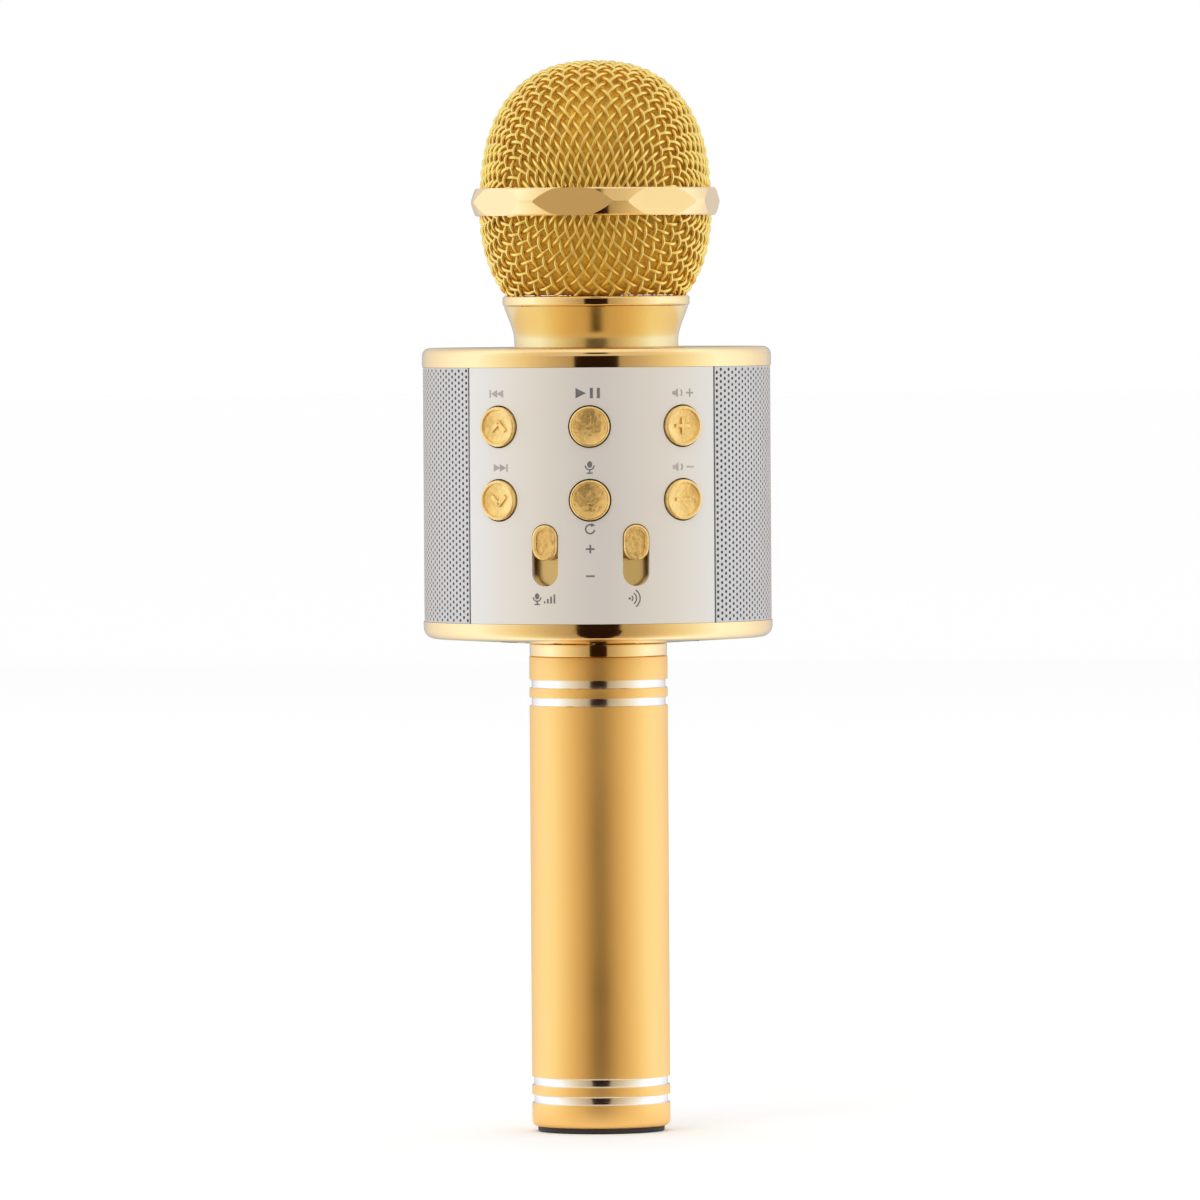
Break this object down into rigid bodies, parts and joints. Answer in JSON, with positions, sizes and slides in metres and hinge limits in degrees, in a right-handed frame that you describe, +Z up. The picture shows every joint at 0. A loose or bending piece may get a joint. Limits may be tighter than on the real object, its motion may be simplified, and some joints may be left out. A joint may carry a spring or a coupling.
{
  "type": "karaoke microphone",
  "caption": "Handheld karaoke microphone: gold tube handle, a speaker drum with control panel and perforated grille, and a woven wire ball head that lifts off.",
  "frame": {"origin": "centre of the flat end face of the handle's end cap, on the axis", "axes": "+Z up the handle to the ball head, -Y out of the control panel, +X to the viewer's right"},
  "size_m": [0.0782, 0.079, 0.24],
  "materials": {
    "gold_satin": "satin anodised gold with bright cut grooves",
    "gold_gloss": "vacuum plated gold, glossy",
    "gold_wire": "gold plated woven wire",
    "panel_silver": "satin silver",
    "grille_silver": "perforated sheet, silver",
    "black_cloth": "acoustic cloth",
    "black_rubber": "matte",
    "black_plastic": "moulded",
    "black_steel": "black coat",
    "black_paper": "pressed paper",
    "ferrite": "ground ferrite",
    "nickel": "nickel plate",
    "board_green": "solder resist",
    "chip_black": "epoxy",
    "cell_wrap": "shrink wrap",
    "clear_lens": "tinted lens",
    "brown_foam": "open cell foam"
  },
  "bodies": {
    "handset": {"handle_tube": "gold_satin", "end_cap": "black_rubber", "handle_collar": "gold_gloss", "battery_tray": "black_plastic", "battery_cell": "cell_wrap", "battery_contact_lower": "nickel", "battery_contact_upper": "nickel", "bottom_cap": "gold_gloss", "top_cap": "gold_gloss", "control_panel": "panel_silver", "speaker_grille": "grille_silver", "grille_cloth": "black_cloth", "inner_frame": "black_plastic", "speaker_basket_left": "black_steel", "speaker_basket_right": "black_steel", "speaker_cone_left": "black_paper", "speaker_cone_right": "black_paper", "speaker_magnet_left": "ferrite", "speaker_magnet_right": "ferrite", "speaker_screws": "nickel", "frame_screws": "nickel", "main_board": "board_green", "board_chips": "chip_black", "board_screws": "nickel", "audio_jack": "black_plastic", "usb_socket": "nickel", "card_slot": "nickel", "power_switch_body": "nickel", "status_led": "clear_lens", "tact_switches": "black_plastic", "button_circuit": "board_green", "switch_carrier": "black_plastic", "slider_troughs": "gold_gloss", "slider_pot_left": "nickel", "slider_pot_right": "nickel", "neck_shell": "gold_gloss", "capsule_post": "black_plastic", "capsule_boot": "black_rubber", "mic_capsule": "nickel"},
    "button_left_upper": {"button_left_upper": "gold_gloss"},
    "button_centre_upper": {"button_centre_upper": "gold_gloss"},
    "button_right_upper": {"button_right_upper": "gold_gloss"},
    "button_left_lower": {"button_left_lower": "gold_gloss"},
    "button_centre_lower": {"button_centre_lower": "gold_gloss"},
    "button_right_lower": {"button_right_lower": "gold_gloss"},
    "slider_left": {"slider_knob_left": "gold_gloss", "slider_lever_left": "black_plastic"},
    "slider_right": {"slider_knob_right": "gold_gloss", "slider_lever_right": "black_plastic"},
    "power_switch": {"power_switch_knob": "black_plastic"},
    "grille_head": {"grille_ring": "gold_gloss", "grille_bowl": "gold_wire", "grille_band": "gold_gloss", "grille_dome": "gold_wire", "foam_windscreen": "brown_foam"}
  },
  "joints": [
    {"name": "button_left_upper_press", "type": "slide", "parent": "handset", "child": "button_left_upper", "axis": [0.5225, 0.8526, 0], "range_m": [0, 0.0005], "stiffness_N_per_m": 700, "springref_m": -0.0004},
    {"name": "button_centre_upper_press", "type": "slide", "parent": "handset", "child": "button_centre_upper", "axis": [0, 1, 0], "range_m": [0, 0.0005], "stiffness_N_per_m": 700, "springref_m": -0.0004},
    {"name": "button_right_upper_press", "type": "slide", "parent": "handset", "child": "button_right_upper", "axis": [-0.5225, 0.8526, 0], "range_m": [0, 0.0005], "stiffness_N_per_m": 700, "springref_m": -0.0004},
    {"name": "button_left_lower_press", "type": "slide", "parent": "handset", "child": "button_left_lower", "axis": [0.5225, 0.8526, 0], "range_m": [0, 0.0005], "stiffness_N_per_m": 700, "springref_m": -0.0004},
    {"name": "button_centre_lower_press", "type": "slide", "parent": "handset", "child": "button_centre_lower", "axis": [0, 1, 0], "range_m": [0, 0.0005], "stiffness_N_per_m": 700, "springref_m": -0.0004},
    {"name": "button_right_lower_press", "type": "slide", "parent": "handset", "child": "button_right_lower", "axis": [-0.5225, 0.8526, 0], "range_m": [0, 0.0005], "stiffness_N_per_m": 700, "springref_m": -0.0004},
    {"name": "slider_left_travel", "type": "slide", "parent": "handset", "child": "slider_left", "axis": [0, 0, 1], "range_m": [-0.0055, 0]},
    {"name": "slider_right_travel", "type": "slide", "parent": "handset", "child": "slider_right", "axis": [0, 0, 1], "range_m": [-0.0055, 0]},
    {"name": "power_switch_travel", "type": "slide", "parent": "handset", "child": "power_switch", "axis": [1, 0, 0], "range_m": [0, 0.0025]},
    {"name": "head_lift", "type": "slide", "parent": "handset", "child": "grille_head", "axis": [0, 0, 1], "range_m": [0, 0.06]}
  ]
}
